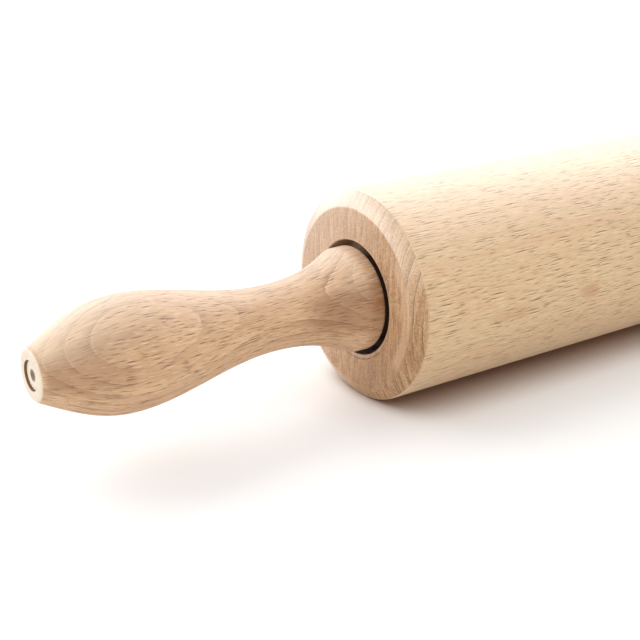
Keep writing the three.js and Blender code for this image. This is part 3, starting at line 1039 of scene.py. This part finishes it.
def shield_outline(face):
    """Thin flat ring: the outer or the inner shield of the bearing."""
    far = BEARING_HALF - SHIELD_INSET
    near = far - SHIELD_THICKNESS
    start, end = (near, far) if face == "outer" else (-far, -near)
    return softened([
        (BEARING_MIDDLE + start, SHIELD_INNER, BEARING_EDGE),
        (BEARING_MIDDLE + start, SHIELD_OUTER, BEARING_EDGE),
        (BEARING_MIDDLE + end, SHIELD_OUTER, BEARING_EDGE),
        (BEARING_MIDDLE + end, SHIELD_INNER, BEARING_EDGE),
    ])


def set_turned(name, outline, around, material, body, node):
    """Turns a piece from its outline and puts it on its body."""
    set_piece(name, turned_mesh(name, outline, around), material, body, node)


# Turned pieces of each end: name, outline at the right end, points around, body, slot and solid
END_PIECES = [
    ("turned_handle", handle_outline(), HANDLE_AROUND, "handles", "handle_beech", "handle"),
    ("tip_plug", plug_outline(), SMALL_AROUND, "handles", "plug_beech", "end_plug"),
    ("collar_spacer", spacer_outline(), SMALL_AROUND, "handles", "axle_steel", "spacer"),
    ("outer_race", outer_race_outline(), SMALL_AROUND, "barrel", "race_steel", "bearing_outer_race"),
    ("inner_race", inner_race_outline(), SMALL_AROUND, "handles", "race_steel", "bearing_inner_race"),
    ("outer_shield", shield_outline("outer"), SMALL_AROUND, "barrel", "shield_steel", "bearing_outer_shield"),
    ("inner_shield", shield_outline("inner"), SMALL_AROUND, "barrel", "shield_steel", "bearing_inner_shield"),
]

set_turned("turned_barrel", barrel_outline(), BARREL_AROUND, finishes["barrel_beech"],
           "barrel", "barrel")
set_turned("turned_axle", axle_outline(), SMALL_AROUND, finishes["axle_steel"],
           "handles", "axle")

for end, handle_finish in handle_finishes.items():
    for name, outline, around, body, slot, node in END_PIECES:
        outline = mirrored(outline) if end == "left" else outline
        material = handle_finish if slot == "handle_beech" else finishes[slot]
        set_turned(f"{end}_{name}", outline, around, material, body, f"{end}_{node}")
    for number in range(1, BALL_COUNT + 1):
        node = f"{end}_bearing_ball_{number}"
        label = f"{end}_ball_{number}"
        ball = ball_mesh(label, node)
        set_piece(label, ball, finishes["ball_steel"], f"{end}_ball_set", node)
    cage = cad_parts[f"{end}_bearing_cage"]
    cage.data.materials.clear()
    cage.data.materials.append(finishes["cage_brass"])


# Stage, in metres. Each panel shines at a level, compared with plain white, from its place towards a point.
# At level 1 it needs the given watts for each square metre.
PANEL_WATTS = 4
FLOOR_HALF = 4.0
FLOOR_WHITE = 0.7
FLOOR_SEEN = 0.94
FLOOR_LIGHT = {"place": (-0.7, 2.26, 1.89), "towards": (-0.13, 0.0, 0.0), "size": (3.6, 3.6), "level": 1.35}
SHEEN_PANELS = {
    "left_sheen": {
        "place": (-1.33, 1.4, 0.6),
        "towards": (-0.2, 0.0, 0.05),
        "size": (3.7, 1.3),
        "level": 5.6,
    },
    "right_sheen": {
        "place": (0.68, 0.74, 1.1),
        "towards": (0.0, 0.0, 0.03),
        "size": (2.8, 1.8),
        "level": 5.3,
    },
}
ROOM_LIGHT = 1.03

# The painted shade on the floor under the barrel, a brown nook: its colour as shares of the floor's, the
# height in metres that closes it off, the open share at which it starts and is full, and the same past the
# end face, in millimetres
NOOK_SHARES = (0.33, 0.185, 0.12)
NOOK_REACH = 0.022
NOOK_OPEN = (0.65, 0.0)
NOOK_PAST_FACE = (3.0, -5.0)

# Camera, in millimetres from the middle of the left end face, and in degrees
CAMERA_FROM_FACE = (-190.6, -261.7, 120.4)
CAMERA_AZIMUTH = -34.44
CAMERA_ELEVATION = 21.45
CAMERA_LENS = 69.84
CAMERA_SENSOR = 36.0


def grey(level):
    """A colour without a hue."""
    return (level, level, level, 1.0)


def seen_rays(finish):
    """1 for rays that look at the stage, straight or in a reflection, and 0 for its light on the object."""
    straight = finish.node("ShaderNodeLightPath", out="Is Camera Ray")
    reflected = finish.math("MAXIMUM", straight, straight.output("Is Glossy Ray"))
    return finish.math("MAXIMUM", reflected, straight.output("Is Transmission Ray"))


def make_panel(name, place, towards, size, level):
    """A rectangular panel that shows only as sheen on the object."""
    light = bpy.data.lights.new(name, "AREA")
    light.shape = "RECTANGLE"
    light.size, light.size_y = size
    light.energy = PANEL_WATTS * size[0] * size[1] * level
    lamp = bpy.data.objects.new(name, light)
    aim = np.array(towards) - np.array(place)
    lamp.location = place
    lamp.rotation_euler = (math.atan2(math.hypot(aim[0], aim[1]), -aim[2]), 0, math.atan2(-aim[0], aim[1]))
    lamp.visible_camera = False
    lamp.visible_diffuse = False
    bpy.context.scene.collection.objects.link(lamp)
    return lamp


def floor_white():
    """White paint that looks a little paler than the light it gives back, with painted shade, brown, in the
    barrel's nook.
    """
    finish = Finish("floor_white")
    spot = finish.node("ShaderNodeTexCoord", out="Object")
    along = finish.node("ShaderNodeSeparateXYZ", None, {0: spot}, "X")
    open_share = finish.node("ShaderNodeAmbientOcclusion", None, {"Distance": NOOK_REACH}, "AO")
    under = finish.smooth(abs(along), *[(BARREL_END + past) * MM for past in NOOK_PAST_FACE])
    brown = tuple(FLOOR_SEEN * share for share in NOOK_SHARES) + (1.0,)
    # Painted shade: brown where little of the room is open, under the barrel.
    seen = finish.mix(finish.smooth(open_share, *NOOK_OPEN) * under, grey(FLOOR_SEEN), brown)
    white = finish.mix(seen_rays(finish), grey(FLOOR_WHITE), seen)
    paint = finish.node("ShaderNodeBsdfDiffuse", None, {"Color": white})
    finish.node("ShaderNodeOutputMaterial", None, {"Surface": paint})
    return finish.material


def make_floor():
    """A square floor under the barrel, with a panel that lights it and nothing else."""
    corners = [(x * FLOOR_HALF, y * FLOOR_HALF, 0.0) for x, y in ((-1, -1), (1, -1), (1, 1), (-1, 1))]
    mesh = bpy.data.meshes.new("floor")
    mesh.from_pydata(corners, [], [(0, 1, 2, 3)])
    mesh.materials.append(floor_white())
    floor = bpy.data.objects.new("floor", mesh)
    bpy.context.scene.collection.objects.link(floor)
    lit = bpy.data.collections.new("floor_only")
    lit.objects.link(floor)
    lamp = make_panel("floor_light", **FLOOR_LIGHT)
    lamp.light_linking.receiver_collection = lit
    lamp.visible_diffuse = True


def make_room():
    """An even white all round, which lights the object a little more than it shows."""
    world = bpy.data.worlds.new("room")
    bpy.context.scene.world = world
    room = Finish("room", world)
    level = blend(ROOM_LIGHT, 1.0, seen_rays(room))
    glow = room.node("ShaderNodeBackground", None, {"Color": grey(1.0), "Strength": level})
    room.node("ShaderNodeOutputWorld", None, {"Surface": glow})


def make_camera():
    """A camera that looks down at the left end, level from side to side."""
    lens = bpy.data.cameras.new("camera")
    lens.sensor_width = CAMERA_SENSOR
    lens.lens = CAMERA_LENS
    camera = bpy.data.objects.new("camera", lens)
    face = np.array([-BARREL_END, 0, AXIS_HEIGHT])
    camera.location = (face + CAMERA_FROM_FACE) * MM
    camera.rotation_euler = (math.radians(90 - CAMERA_ELEVATION), 0, math.radians(CAMERA_AZIMUTH))
    bpy.context.scene.collection.objects.link(camera)
    bpy.context.scene.camera = camera


make_floor()
for name, panel in SHEEN_PANELS.items():
    make_panel(name, **panel)
make_room()
make_camera()
bpy.context.scene.view_settings.view_transform = "Standard"
